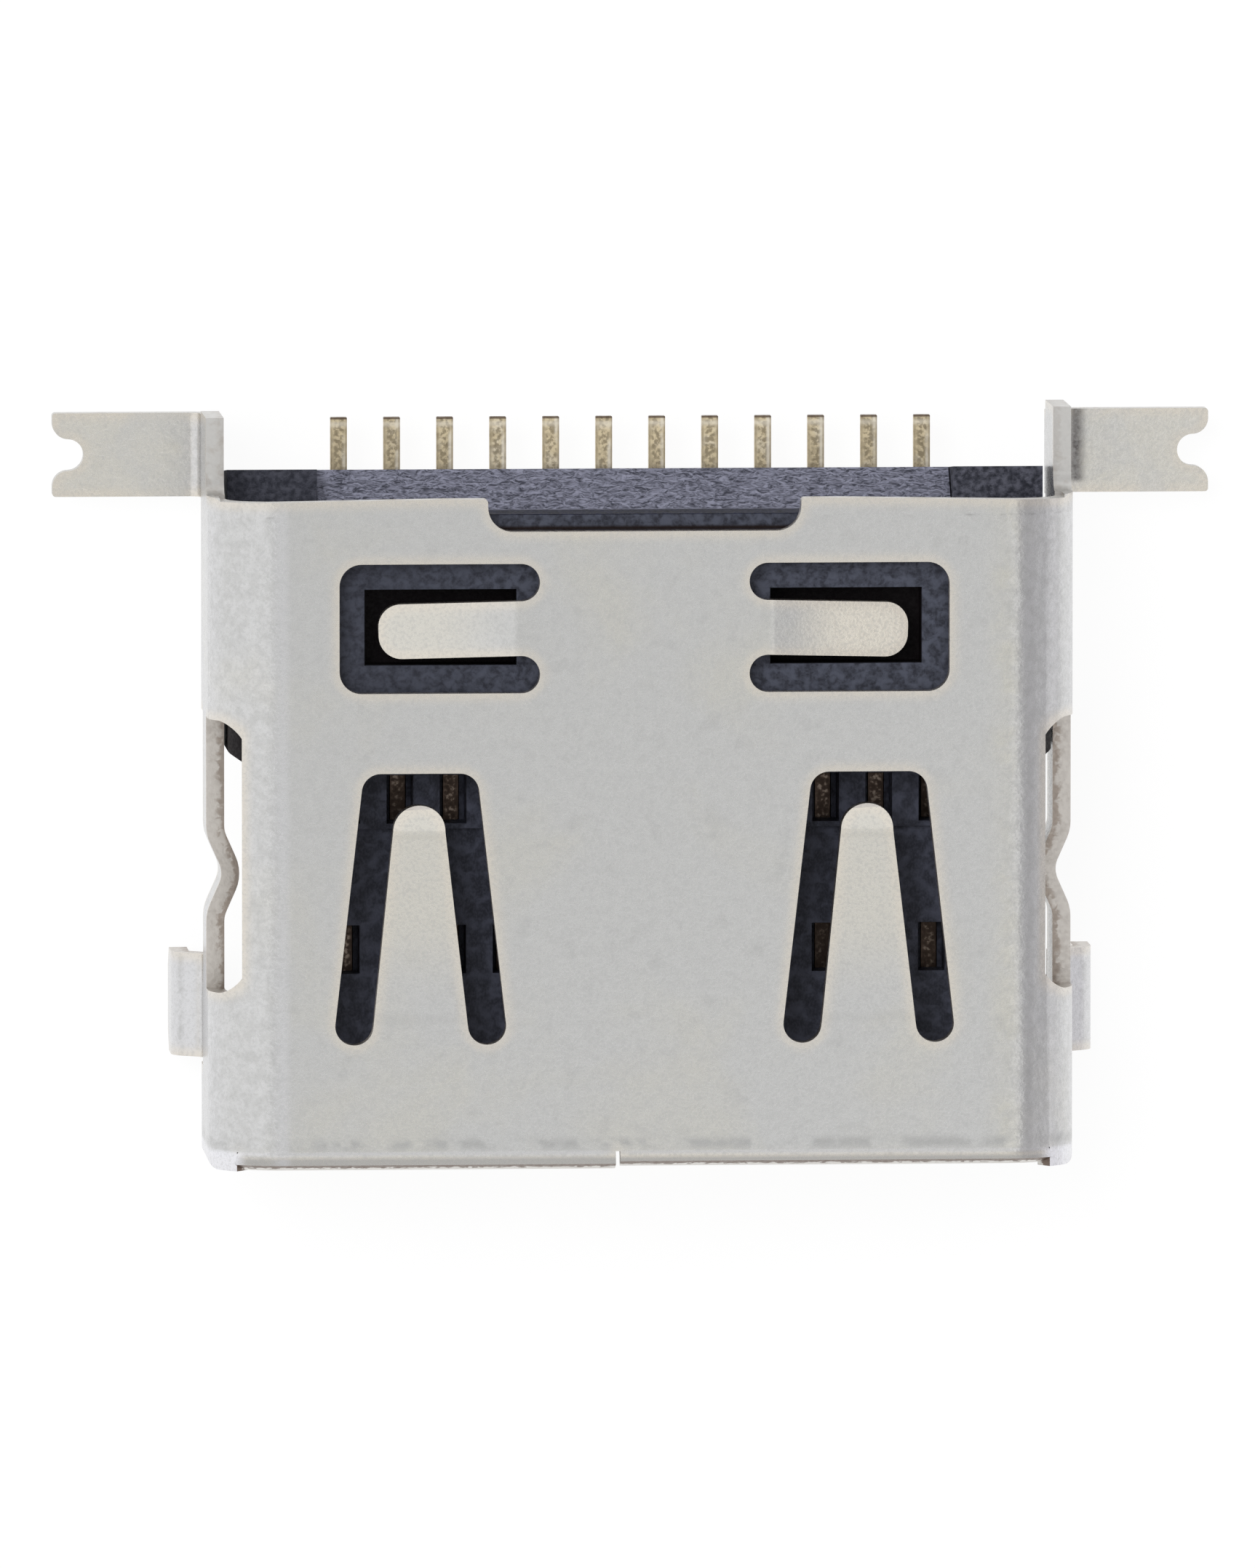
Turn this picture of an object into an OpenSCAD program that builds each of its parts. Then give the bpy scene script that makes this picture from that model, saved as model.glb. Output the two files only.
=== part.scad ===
// Board socket with a folded sheet shell, a two-piece black moulding and one row of contacts.
// Frame: X across the mouth, Y from the mouth to the solder tails, Z up from the board.
// Origin: on the board plane, midway across and midway along the shell.

/* [Shell] */
// Thickness of the stamped sheet
sheet_t = 0.27; // [0.22:0.01:0.3]
// Outside width over the two side walls
shell_w = 13; // [12.6:0.1:15]
// Outside height of the shell above the board
shell_h = 3.4; // [3.2:0.05:4]
// Length of the shell from the mouth to the rear edge of its top
shell_l = 10; // [9.6:0.1:12]
// Outside radius of the two upper bends
top_bend_r = 1.05; // [0.9:0.05:1.15]
// Outside radius of the two lower bends
low_bend_r = 0.6; // [0.45:0.05:0.7]
// Inside radius of the small bends at feet, legs and lips
small_bend_r = 0.15; // [0.1:0.01:0.25]

/* [Mouth lips] */
// Length of sheet that flares at the mouth
lip_l = 0.24; // [0.15:0.01:0.4]
// Angle by which the lips flare
lip_angle = 20; // [8:1:30]
// How far round each corner bend the lips reach, in degrees
lip_wrap = 37; // [25:1:45]
// Slit in the upper lip, to the left of the middle
lip_slit_x = 0.4; // [0.2:0.02:2]
// Width of that slit
lip_slit_w = 0.07; // [0.04:0.01:0.12]
// How much shorter the upper lip is on the right of that slit
lip_trim = 0.04; // [0:0.01:0.08]
// Width of the seam in the floor and of the slit in the lower lip
seam_gap = 0.05; // [0.03:0.01:0.1]

/* [Windows] */
// Width of the slots cut round the grip springs
slot_w = 0.57; // [0.4:0.01:0.62]
// Distance of the grip springs from the middle
grip_x = 3.36; // [3:0.01:3.6]
// Distance from the mouth to the root of the grip springs
grip_root = 2.14; // [1.8:0.02:2.6]
// Length of a grip spring
grip_l = 3.29; // [2.8:0.01:3.6]
// Width of a grip spring at its root
grip_root_w = 1.42; // [1.2:0.02:1.6]
// Width of a grip spring at its round tip
grip_tip_w = 0.78; // [0.6:0.02:0.9]
// Width of the window round a grip spring's tip
grip_head_w = 1.76; // [1.5:0.02:1.9]
// Gap between a grip spring's tip and the end of its window
grip_tip_gap = 0.5; // [0.4:0.02:0.6]
// Angle by which the grip springs lean into the mouth
grip_angle = 7; // [3:0.5:9]
// Distance from the rear edge to the middle of the lock tabs
lock_y = 1.9; // [1.7:0.02:2.1]
// Distance from the middle to the root of a lock tab
lock_root_x = 1.85; // [1.5:0.05:2.1]
// Length of a lock tab
lock_l = 2.12; // [1.8:0.02:2.3]
// Width of a lock tab
lock_w = 0.82; // [0.6:0.02:1]
// Gap along the two long edges of a lock tab
lock_gap = 0.56; // [0.45:0.01:0.6]
// Gap at the tip of a lock tab
lock_tip_gap = 0.6; // [0.45:0.01:0.65]
// Angle by which the lock tabs are pressed down
lock_angle = 9; // [5:1:12]
// Width of the notch in the rear edge of the top
notch_w = 4.69; // [4.2:0.01:5]
// Depth of that notch
notch_l = 0.49; // [0.42:0.01:0.6]

/* [Side springs] */
// Distance from the mouth to the front end of the side window
side_front = 2.61; // [2.2:0.05:3]
// Length of the side window
side_l = 4.09; // [3.6:0.05:4.5]
// Height of the middle of the side spring above the board
side_z = 1.55; // [1.5:0.05:1.65]
// Height of the side spring strip
side_h = 1; // [0.8:0.05:1.1]
// Distance from the mouth to the crest of the side spring
side_crest = 4.33; // [4.2:0.05:4.8]
// Angle of the flanks of the side spring
side_angle = 24; // [15:1:28]
// How far the side windows cut into the upper bend, from the outer face
side_reach = 0.475; // [0.42:0.005:0.5]
// How far the side windows cut into the floor, from the outer face
side_floor_reach = 0.72; // [0.6:0.02:0.9]

/* [Feet and legs] */
// How far the right rear post reaches behind the top of the shell
post_l = 1.29; // [1.2:0.01:1.6]
// How much shorter the left rear post is
post_trim = 0.11; // [0:0.01:0.15]
// Height of the top edge of the rear posts
post_h = 2.05; // [1.9:0.05:2.2]
// Reach of the solder feet from the side wall
foot_reach = 2.22; // [1.8:0.02:2.6]
// Width of a solder foot along the socket
foot_w = 1.26; // [1.1:0.01:1.4]
// Width of the throat of the notch in a foot
fork_w = 0.48; // [0.3:0.02:0.6]
// Depth of the notch in a foot
fork_l = 0.47; // [0.35:0.02:0.7]
// Width of a front leg along the socket
leg_w = 1.56; // [1.3:0.02:1.7]
// Distance from the mouth to the front leg
leg_front = 1.45; // [1.3:0.01:1.7]
// How far a front leg is set out from the side wall
leg_jog = 0.45; // [0.4:0.01:0.6]
// How far a front leg reaches below the board's upper face
leg_drop = 0.6; // [0.3:0.05:1]

/* [Mouldings] */
// Play between the housing and the sheet at the sides and the top
housing_play = 0.05; // [0.02:0.01:0.1]
// Distance from the rear edge of the shell to the housing's front face
housing_front = 4; // [3.7:0.05:4.1]
// Play between the contact carrier and its window in the housing
carrier_play = 0.02; // [0.01:0.01:0.05]
// How far the mouldings stand out behind the shell
rear_block = 0.34; // [0.25:0.01:0.45]
// Height of the housing's two rear shoulders
shoulder_h = 1.25; // [1.1:0.05:1.5]
// Height of the rear edge of the contact carrier's slope
slope_low_h = 0.55; // [0.45:0.05:0.7]
// Height of the upper end of that slope
slope_high_h = 1.15; // [0.9:0.05:1.3]
// Height of the tongue's underside above the board
tongue_z = 1.4; // [1.2:0.05:1.5]
// Thickness of the tongue
tongue_t = 0.7; // [0.6:0.02:0.8]
// Distance from the mouth to the tongue's front edge
tongue_front = 0.9; // [0.6:0.05:1.1]
// Length of the thicker root of the tongue in front of the housing
root_l = 1; // [0.9:0.05:1.3]
// Extra thickness of the tongue's root, above
root_t = 0.1; // [0.05:0.01:0.15]
// Width of the mould holes over the contacts
hole_w = 0.4; // [0.3:0.01:0.45]
// Length of the mould holes over the contacts
hole_l = 0.73; // [0.5:0.01:0.8]

/* [Contacts] */
// Distance from one contact to the next
contact_pitch = 0.8; // [0.72:0.01:0.86]
// Width of a contact strip
contact_w = 0.25; // [0.2:0.01:0.3]
// Thickness of a contact strip
contact_t = 0.15; // [0.1:0.01:0.18]
// Length of the solder tails behind the rear block
tail_l = 0.7; // [0.5:0.02:1]

/* [Hidden] */
$fn = 64;
bend_step = 9;
contact_total = 12;

// A little more than a wall, so that cuts pass right through
past = 1;
// Depth by which one stretch of sheet runs into the next
lap = 0.03;

mouth_y = -shell_l / 2;
rear_y = shell_l / 2;
inner_w = shell_w - 2 * sheet_t;
inner_top = shell_h - sheet_t;
wall_mid_x = (shell_w - sheet_t) / 2;
bend_mid_r = small_bend_r + sheet_t / 2;

// The floor stops short of the feet, and the feet start in front of the shell's rear edge
floor_gap = 0.3;
foot_lead = 0.13;
floor_rear_y = rear_y - floor_gap;
foot_front_y = rear_y - foot_lead;
foot_rear_y = foot_front_y + foot_w;
post_rear_y = rear_y + post_l;
post_fillet_r = 0.3;

// The rear edge of the top stands out in the middle and slants forward towards the posts
top_lead = 0.04;
top_rear_y = rear_y + top_lead;
slant_x = 3;
slant_l = 0.05;
slant_margin = 0.17;
slant_end_x = shell_w / 2 - slant_margin;

lip_y = mouth_y + lip_l;
lip_bend_r = 0.4;
lip_relief = 0.02;
// The side walls reach a little further than the lips
cheek_lead = 0.05;
cheek_y = mouth_y - cheek_lead;
mouth_corner_r = 0.14;

leg_front_y = mouth_y + leg_front;
leg_rear_y = leg_front_y + leg_w;
leg_slit = 0.1;
leg_angle = 55;
leg_tip_chamfer = 0.3;

side_front_y = mouth_y + side_front;
side_rear_y = side_front_y + side_l;
side_crest_y = mouth_y + side_crest;
side_low_z = side_z - side_h / 2;
side_high_z = side_z + side_h / 2;
leg_top_z = side_low_z - leg_slit;
side_bend_r = 0.5;
side_corner_r = 0.4;
side_cut_angle = acos((top_bend_r - side_reach) / top_bend_r);
side_top_z = shell_h - top_bend_r + top_bend_r * sin(side_cut_angle) + lap;
side_flank = 0.34;

grip_root_y = mouth_y + grip_root;
grip_tip_y = grip_root_y + grip_l;
grip_bend_r = 1.5;
grip_curl = 12;
grip_curl_r = 0.8;
grip_curl_l = 0.35;

lock_mid_y = rear_y - lock_y;
lock_bend_r = 0.6;
lock_corner_share = 0.415;
lock_corner_r = lock_corner_share * lock_w;
lock_skew = 1.9;
lock_window_r = 0.33;

notch_corner_r = 0.37;
notch_lip_r = 0.06;
foot_corner_r = 0.05;
fork_lip_r = 0.24;

housing_front_y = rear_y - housing_front;
housing_setback = 0.21;
housing_rear_y = rear_y - housing_setback;
housing_lead_w = 0.3;
housing_lead_l = 0.18;
shoulder_gap = 0.09;
rear_draft = 4.8;
housing_w = inner_w - 2 * housing_play;
housing_top = inner_top - housing_play;
pocket_margin = 0.16;
pocket_depth = 0.6;
pocket_root = 0.05;

carrier_rear_y = rear_y + rear_block;
carrier_edge = 0.245;
carrier_w = (contact_total - 1) * contact_pitch + contact_w + 2 * carrier_edge;
carrier_foot_z = 0.05;
web_front = 0.63;
web_t = 0.35;
web_front_y = rear_y - web_front;
web_rear_y = web_front_y + web_t;
web_room = 0.1;
tongue_front_y = mouth_y + tongue_front;
tongue_top = tongue_z + tongue_t;
root_front_y = housing_front_y - root_l;
root_low = 0.2;
root_z = tongue_z - root_low;
root_top = tongue_top + root_t;
nose_chamfer = 0.18;
// Rows of mould holes: behind the step of the root, and behind the tongue's front edge
hole_row_root = 0.08;
hole_row_front = 1.91;
hole_rows_y = [root_front_y + hole_row_root, tongue_front_y + hole_row_front];

contact_bend_r = 0.2;
contact_rise_y = web_front_y + web_t / 2;
contact_nose = 0.35;
contact_hook_angle = 45;
contact_hook_l = 0.2;
tail_end_y = carrier_rear_y + tail_l;

function contact_name(i) = str("contact_", i < 10 ? "0" : "", i);
// Rear face of the mouldings, which leans forward towards the board
function rear_face_y(z) = carrier_rear_y - (shoulder_h - z) * tan(rear_draft);
function contact_x(i) = (i - (contact_total + 1) / 2) * contact_pitch;

// Points along a bend that starts at a point with a heading and turns by an angle
function bend_points(at, dir, turn, r) =
    let (count = ceil(abs(turn) / bend_step),
         side = sign(turn),
         hub = at + r * side * [-sin(dir), cos(dir)])
    [for (i = [1:count])
        let (h = dir + turn * i / count)
        [hub[0] + r * side * sin(h), hub[1] - r * side * cos(h), h]];

// Middle line of a bent strip: each run is [straight length, bend angle, bend radius]
function strip_line(runs, at, dir, i = 0) =
    i == len(runs) ? [] :
    let (run = runs[i],
         knee = at + run[0] * [cos(dir), sin(dir)],
         bend = len(run) > 1 ? bend_points(knee, dir, run[1], run[2]) : [],
         last = len(bend) > 0 ? bend[len(bend) - 1] : [knee[0], knee[1], dir])
    concat([[knee[0], knee[1], dir]], bend, strip_line(runs, [last[0], last[1]], last[2], i + 1));

// Edge-on outline of a bent strip
module bent_strip(runs, at, dir, thick) {
    line = concat([[at[0], at[1], dir]], strip_line(runs, at, dir));
    left = [for (p = line) [p[0], p[1]] + thick / 2 * [-sin(p[2]), cos(p[2])]];
    right = [for (p = line) [p[0], p[1]] - thick / 2 * [-sin(p[2]), cos(p[2])]];
    polygon(concat(left, [for (i = [len(right) - 1:-1:0]) right[i]]));
}

// Outline in Y and Z, drawn out along X
module along_x(x0, x1) {
    translate([x0, 0, 0]) rotate([90, 0, 90]) linear_extrude(x1 - x0) children();
}

// Outline in X and Z, drawn out along Y
module along_y(y0, y1) {
    translate([0, y1, 0]) rotate([90, 0, 0]) linear_extrude(y1 - y0) children();
}

// Outline in X and Y, drawn out along Z
module along_z(z0, z1) {
    translate([0, 0, z0]) linear_extrude(z1 - z0) children();
}

module both_sides() {
    children();
    mirror([1, 0, 0]) children();
}

// Straight slot with round ends
module slot_line(a, b, w) {
    reach = b - a;
    translate(a) circle(d = w);
    translate(b) circle(d = w);
    translate(a) rotate(atan2(reach[1], reach[0])) translate([0, -w / 2]) square([norm(reach), w]);
}

// The sliver that rounds off a corner: the corner is at the origin, the sheet lies to +X +Y
module corner_sliver(r) {
    difference() {
        translate([-r, -r]) square(2 * r);
        translate([r, r]) circle(r);
        translate([r, -2 * r]) square([2 * r, 4 * r]);
        translate([-2 * r, r]) square([4 * r, 2 * r]);
    }
}

// Box section with one radius for the upper corners and one for the lower corners
module round_box(w, low, high, top_r, low_r) {
    half = w / 2;
    polygon([[-half + low_r, low], [half - low_r, low], [half, low + low_r], [half, high - top_r],
        [half - top_r, high], [-half + top_r, high], [-half, high - top_r], [-half, low + low_r]]);
    for (side = [-1, 1]) {
        translate([side * (half - top_r), high - top_r]) circle(top_r);
        translate([side * (half - low_r), low + low_r]) circle(low_r);
    }
}

// Cross-section of the folded sheet
module sheet_section() {
    difference() {
        round_box(shell_w, 0, shell_h, top_bend_r, low_bend_r);
        round_box(inner_w, sheet_t, inner_top, top_bend_r - sheet_t, low_bend_r - sheet_t);
    }
}

// Opening round one grip spring, spring included
module grip_window() {
    foot_x = (grip_root_w + slot_w) / 2;
    head_x = (grip_head_w - slot_w) / 2;
    head_y = grip_tip_y + grip_tip_gap - slot_w / 2;
    slot_line([-foot_x, grip_root_y], [-head_x, head_y], slot_w);
    slot_line([foot_x, grip_root_y], [head_x, head_y], slot_w);
    slot_line([-head_x, head_y], [head_x, head_y], slot_w);
    polygon([[-foot_x, grip_root_y], [foot_x, grip_root_y], [head_x, head_y], [-head_x, head_y]]);
}

// Outline of one grip spring, with a round tip
module grip_outline() {
    tip_r = grip_tip_w / 2;
    translate([0, grip_tip_y - tip_r]) circle(tip_r);
    polygon([[-grip_root_w / 2, grip_root_y - lap], [grip_root_w / 2, grip_root_y - lap],
        [tip_r, grip_tip_y - tip_r], [-tip_r, grip_tip_y - tip_r]]);
}

// Spring that leans into the mouth and curls up at its tip
module grip_spring() {
    lean_l = grip_l - grip_curl_l;
    intersection() {
        along_z(0, shell_h) grip_outline();
        along_x(-grip_root_w, grip_root_w)
            bent_strip([[lap, -grip_angle, grip_bend_r],
                        [lean_l - 2 * grip_bend_r * sin(grip_angle), grip_angle + grip_curl, grip_curl_r],
                        [grip_curl_l + past]],
                       [grip_root_y - lap, shell_h - sheet_t / 2], 0, sheet_t);
    }
}

// Opening round the right lock tab, tab included
module lock_window() {
    half = lock_w / 2 + lock_gap;
    reach = lock_l + lock_tip_gap;
    r = lock_window_r;
    translate([lock_root_x, lock_mid_y]) {
        translate([0, -half]) square([reach - r, 2 * half]);
        translate([0, r - half]) square([reach, 2 * (half - r)]);
        for (side = [-1, 1]) {
            translate([reach - r, side * (half - r)]) circle(r);
            translate([0, side * (lock_w + lock_gap) / 2]) circle(d = lock_gap);
        }
    }
}

// Outline of a lock tab from its root, with a round tip
module lock_outline() {
    difference() {
        translate([-lap, -lock_w / 2]) square([lock_l + lap, lock_w]);
        for (side = [-1, 1])
            translate([lock_l, side * lock_w / 2])
                rotate(side > 0 ? 180 : 90) corner_sliver(lock_corner_r);
    }
}

// Right lock tab, pressed down into the housing's pocket, its tip a little towards the mouth
module lock_tab() {
    intersection() {
        along_z(0, shell_h) translate([lock_root_x, lock_mid_y]) rotate(-lock_skew) lock_outline();
        along_y(lock_mid_y - lock_w, lock_mid_y + lock_w)
            bent_strip([[lap, -lock_angle, lock_bend_r], [lock_l + past]],
                       [lock_root_x - lap, shell_h - sheet_t / 2], 0, sheet_t);
    }
}

// Notch in the rear edge of the top, with round corners inside and out
module rear_notch() {
    half = notch_w / 2;
    inner_y = top_rear_y - notch_l;
    r = notch_corner_r;
    translate([-half + r, inner_y]) square([notch_w - 2 * r, notch_l + past]);
    translate([-half, inner_y + r]) square([notch_w, notch_l + past]);
    for (side = [-1, 1]) {
        translate([side * (half - r), inner_y + r]) circle(r);
        translate([side * half, top_rear_y]) rotate(side > 0 ? -90 : 180) corner_sliver(notch_lip_r);
    }
}

// Section cut away in a right side wall: upper bend, spring strip and lower bend
module side_window_section() {
    hub = [shell_w / 2 - top_bend_r, shell_h - top_bend_r];
    far = 2 * top_bend_r;
    floor_x = shell_w / 2 - side_floor_reach;
    polygon([hub, hub + far * [cos(side_cut_angle), sin(side_cut_angle)], [shell_w / 2 + past, shell_h],
        [shell_w / 2 + past, -past], [floor_x, -past], [floor_x, side_z], [hub[0], side_z]]);
}

// The same window seen from the side, with its two upper corners rounded
module side_window_outline() {
    r = side_corner_r;
    translate([side_front_y, -past]) square([side_l, side_top_z - r + past]);
    translate([side_front_y + r, -past]) square([side_l - 2 * r, side_top_z + past]);
    for (y = [side_front_y + r, side_rear_y - r])
        translate([y, side_top_z - r]) circle(r);
}

// Section cut away round a right front leg, below the side wall
module leg_gap_section() {
    translate([shell_w / 2 - side_floor_reach, -past]) square([side_floor_reach + past, leg_top_z + past]);
}

// Right side spring: a strip held at both ends, with a crest that presses on the plug
module side_spring() {
    swing = 2 * side_bend_r * sin(side_angle) + side_flank * cos(side_angle);
    along_z(side_low_z, side_high_z)
        bent_strip([[side_rear_y + lap - side_crest_y - swing, -side_angle, side_bend_r],
                    [side_flank, 2 * side_angle, side_bend_r],
                    [side_flank, -side_angle, side_bend_r],
                    [side_crest_y - swing - side_front_y + lap]],
                   [wall_mid_x, side_rear_y + lap], -90, sheet_t);
}

// What is open behind the top, seen from the side: the posts are left, with a fillet at their roots
module rear_opening() {
    r = post_fillet_r;
    translate([top_rear_y + r, post_h + r]) circle(r);
    translate([top_rear_y, post_h + r]) square([post_l + past, shell_h]);
    translate([top_rear_y + r, post_h]) square([post_l + past, shell_h]);
}

// Slant of the right half of the top's rear edge
module rear_slant() {
    polygon([[slant_x, top_rear_y], [slant_end_x, top_rear_y - slant_l], [slant_end_x, top_rear_y + past],
        [slant_x, top_rear_y + past]]);
}

// Solder foot that is bent out from the right rear post
module foot() {
    foot_end_x = shell_w / 2 + foot_reach;
    foot_mid_y = (foot_front_y + foot_rear_y) / 2;
    fork_x = foot_end_x - fork_l + fork_w / 2;
    post_low = 2 * sheet_t + small_bend_r;
    difference() {
        along_y(foot_front_y, foot_rear_y)
            bent_strip([[post_low + lap - sheet_t / 2 - bend_mid_r, 90, bend_mid_r],
                        [foot_end_x - wall_mid_x - bend_mid_r]],
                       [wall_mid_x, post_low + lap], -90, sheet_t);
        along_z(-past, sheet_t + past) {
            slot_line([fork_x, foot_mid_y], [foot_end_x + past, foot_mid_y], fork_w);
            translate([foot_end_x, foot_mid_y + fork_w / 2]) rotate(90) corner_sliver(fork_lip_r);
            translate([foot_end_x, foot_mid_y - fork_w / 2]) rotate(180) corner_sliver(fork_lip_r);
            translate([foot_end_x, foot_front_y]) rotate(90) corner_sliver(foot_corner_r);
            translate([foot_end_x, foot_rear_y]) rotate(180) corner_sliver(foot_corner_r);
        }
    }
}

// Right front leg: set out from the wall by a double bend and led through the board
module leg() {
    swing = 2 * bend_mid_r * (1 - cos(leg_angle));
    slope = (leg_jog - swing) / sin(leg_angle);
    jog_h = 2 * bend_mid_r * sin(leg_angle) + slope * cos(leg_angle);
    difference() {
        along_y(leg_front_y, leg_rear_y)
            bent_strip([[2 * lap, leg_angle, bend_mid_r],
                        [slope, -leg_angle, bend_mid_r],
                        [leg_top_z + leg_drop - jog_h - lap]],
                       [wall_mid_x, leg_top_z + lap], -90, sheet_t);
        along_x(0, shell_w)
            for (y = [leg_front_y, leg_rear_y])
                translate([y, -leg_drop]) rotate(45)
                    square(leg_tip_chamfer * sqrt(2), center = true);
    }
}

// Edge-on outline of a lip, from the flat sheet to its flared edge; x is the height, y the length
module lip_section(height, length) {
    flare = lip_bend_r * lip_angle * PI / 180;
    mirror([1, -1])
        bent_strip([[lap, -lip_angle, lip_bend_r], [length - flare]], [lip_y + lap, height], 180, sheet_t);
}

// Right end of a lip, which goes part of the way round the bend
module lip_end(bend_r, length) {
    translate([shell_w / 2 - bend_r, 0, shell_h - bend_r]) rotate([-90, 0, 0]) rotate(-90)
        rotate_extrude(angle = lip_wrap) lip_section(bend_r - sheet_t / 2, length);
}

// Flared lip along the top of the mouth, in two lengths with a slit between them
module upper_lip(bend_r, slit_x, slit_w, trim) {
    hub_x = shell_w / 2 - bend_r;
    lip_z = shell_h - sheet_t / 2;
    difference() {
        union() {
            along_x(-hub_x, slit_x) mirror([1, -1]) lip_section(lip_z, lip_l);
            along_x(slit_x, hub_x) mirror([1, -1]) lip_section(lip_z, lip_l - trim);
            lip_end(bend_r, lip_l - trim);
            mirror([1, 0, 0]) lip_end(bend_r, lip_l);
        }
        translate([slit_x - slit_w / 2, mouth_y - past, inner_top - past])
            cube([slit_w, lip_y - mouth_y + past, sheet_t + 2 * past]);
    }
}

// Room that the upper lip needs in the straight sheet
module upper_lip_gap(bend_r) {
    hub = [shell_w / 2 - bend_r, shell_h - bend_r];
    end_angle = lip_wrap + asin(lip_relief / (bend_r - sheet_t));
    edge = hub + 2 * bend_r * [sin(end_angle), cos(end_angle)];
    along_y(mouth_y - past, lip_y)
        polygon([hub, edge, [edge[0], shell_h + past], [-edge[0], shell_h + past], [-edge[0], edge[1]],
            [-hub[0], hub[1]]]);
}

// Turns the upper lip over for the floor
module as_lower() {
    translate([0, 0, shell_h]) mirror([0, 0, 1]) children();
}

// Butt seam of the folded sheet, with a dovetail that keeps it shut
module floor_seam() {
    key_front = -0.2;
    key_l = 1.2;
    key_reach = 0.55;
    key_flare = 0.25;
    path = [[0, mouth_y - past], [0, key_front], [key_reach, key_front - key_flare],
        [key_reach, key_front + key_l + key_flare], [0, key_front + key_l], [0, rear_y]];
    for (i = [1:len(path) - 1])
        slot_line(path[i - 1], path[i], seam_gap);
}

// Room in the floor's rear edge for the contact carrier's foot
module floor_notch() {
    half = carrier_w / 2 + web_room;
    translate([-half, web_front_y - web_room]) square([2 * half, web_front + past]);
}

module shell() {
    color([0.78, 0.78, 0.77]) {
        difference() {
            along_y(cheek_y, post_rear_y) sheet_section();
            translate([-shell_w, floor_rear_y, -past]) cube([2 * shell_w, shell_l, low_bend_r + past]);
            along_x(-shell_w, shell_w) rear_opening();
            along_z(post_h + post_fillet_r, shell_h + past) both_sides() rear_slant();
            translate([-shell_w, post_rear_y - post_trim, -past]) cube([shell_w, past, shell_h + past]);
            upper_lip_gap(top_bend_r);
            as_lower() upper_lip_gap(low_bend_r);
            along_z(-past, sheet_t + past) {
                floor_seam();
                floor_notch();
            }
            along_z(-past, shell_h + past)
                both_sides() translate([shell_w / 2, cheek_y]) rotate(90) corner_sliver(mouth_corner_r);
            along_z(inner_top - lap, shell_h + past) {
                rear_notch();
                both_sides() lock_window();
                for (side = [-1, 1])
                    translate([side * grip_x, 0]) grip_window();
            }
            both_sides() {
                intersection() {
                    along_y(side_front_y, side_rear_y) side_window_section();
                    along_x(0, shell_w) side_window_outline();
                }
                along_y(leg_front_y - leg_slit, side_rear_y) leg_gap_section();
            }
        }
        for (side = [-1, 1])
            translate([side * grip_x, 0, 0]) grip_spring();
        upper_lip(top_bend_r, -lip_slit_x, lip_slit_w, lip_trim);
        as_lower() upper_lip(low_bend_r, 0, seam_gap, 0);
        both_sides() {
            lock_tab();
            side_spring();
            foot();
            leg();
        }
    }
}

// Room for the contact carrier and its play, seen from the side: the tongue's slot and the web's recess
module carrier_room() {
    translate([housing_front_y - past, root_z - carrier_play])
        square([housing_front + 2 * past, root_top - root_z + 2 * carrier_play]);
    translate([web_front_y - carrier_play, -past])
        square([web_front + past, root_top + carrier_play + past]);
}

// Right rear shoulder of the housing, beside the contact carrier
module shoulder() {
    along_x(carrier_w / 2 + carrier_play, inner_w / 2 - shoulder_gap)
        polygon([[housing_rear_y - lap, sheet_t], [rear_face_y(sheet_t), sheet_t],
            [rear_face_y(shoulder_h), shoulder_h], [housing_rear_y - lap, shoulder_h]]);
}

// Chamfer that leads the right side of the housing into the shell
module housing_chamfer() {
    side_x = housing_w / 2;
    polygon([[side_x - 2 * housing_lead_w, housing_front_y - housing_lead_l],
        [side_x + housing_lead_w, housing_front_y - housing_lead_l],
        [side_x + housing_lead_w, housing_front_y + 2 * housing_lead_l]]);
}

module housing() {
    corner_top = top_bend_r - sheet_t;
    corner_low = low_bend_r - sheet_t;
    room_x = carrier_w / 2 + carrier_play;
    pocket_l = lock_w + 2 * pocket_margin;
    color([0.1, 0.11, 0.14])
        difference() {
            union() {
                along_y(housing_front_y, housing_rear_y)
                    round_box(housing_w, sheet_t, housing_top, corner_top, corner_low);
                both_sides() shoulder();
            }
            along_x(-room_x, room_x) carrier_room();
            along_z(0, shell_h) both_sides() housing_chamfer();
            both_sides()
                translate([lock_root_x + pocket_root, lock_mid_y - pocket_l / 2, housing_top - pocket_depth])
                    cube([lock_l + pocket_margin, pocket_l, pocket_depth + past]);
        }
}

// Side view of the contact carrier: chamfered tongue, thicker root, web and sloping foot
module carrier_side() {
    polygon([[tongue_front_y + nose_chamfer, tongue_z], [root_front_y, tongue_z],
        [root_front_y + root_low, root_z], [web_front_y, root_z], [web_front_y, carrier_foot_z],
        [rear_face_y(carrier_foot_z), carrier_foot_z], [rear_face_y(slope_low_h), slope_low_h],
        [web_rear_y, slope_high_h], [web_rear_y, root_top], [root_front_y, root_top],
        [root_front_y, tongue_top],
        [tongue_front_y + nose_chamfer, tongue_top], [tongue_front_y, tongue_top - nose_chamfer],
        [tongue_front_y, tongue_z + nose_chamfer]]);
}

module contact_carrier() {
    color([0.2, 0.21, 0.25])
        difference() {
            along_x(-carrier_w / 2, carrier_w / 2) carrier_side();
            for (i = [1:contact_total]) {
                contact_strip(i);
                for (y = hole_rows_y)
                    translate([contact_x(i) - hole_w / 2, y, tongue_z + contact_t])
                        cube([hole_w, hole_l, tongue_t + past]);
            }
        }
}

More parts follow.
